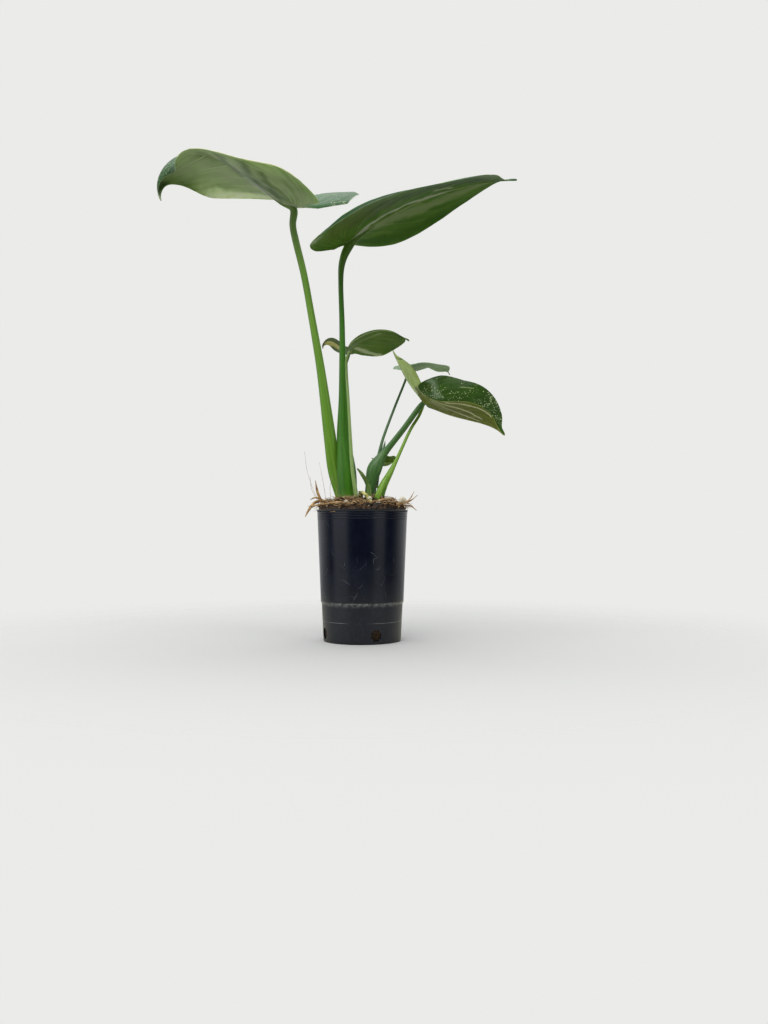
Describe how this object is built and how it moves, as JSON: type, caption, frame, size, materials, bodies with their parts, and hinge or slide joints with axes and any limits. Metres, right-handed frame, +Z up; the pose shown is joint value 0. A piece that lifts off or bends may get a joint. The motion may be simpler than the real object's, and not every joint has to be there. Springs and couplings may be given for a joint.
{
  "type": "potted young monstera with star-flecked variegated leaves",
  "caption": "Young variegated monstera with heart-shaped leaves on long sheathed stalks, growing in bark and husk mix in a black nursery pot.",
  "frame": {"origin": "centre of the pot's flat underside", "axes": "+Z up the pot's axis, -Y towards the front of the plant, +X to the right as seen from the front"},
  "size_m": [0.3654, 0.1594, 0.4884],
  "materials": {
    "pot_plastic": "glossy black, scuffed low down",
    "potting_mix": "matte, fibrous",
    "pale_root": "matte",
    "dry_sheath": "papery",
    "leaf": "satin, cream and pale green flecks",
    "young_leaf": "satin, finely speckled"
  },
  "bodies": {
    "root": {"pot": "pot_plastic", "potting_mix": "potting_mix", "crown_and_root": "pale_root", "dried_sheath": "dry_sheath", "leaf_upper_left": "leaf", "leaf_upper_right": "leaf", "leaf_middle": "leaf", "leaf_half_hidden": "leaf", "leaf_lower_right": "leaf", "leaf_rolled": "young_leaf", "leaf_back": "leaf", "leaf_small": "leaf"}
  },
  "joints": []
}
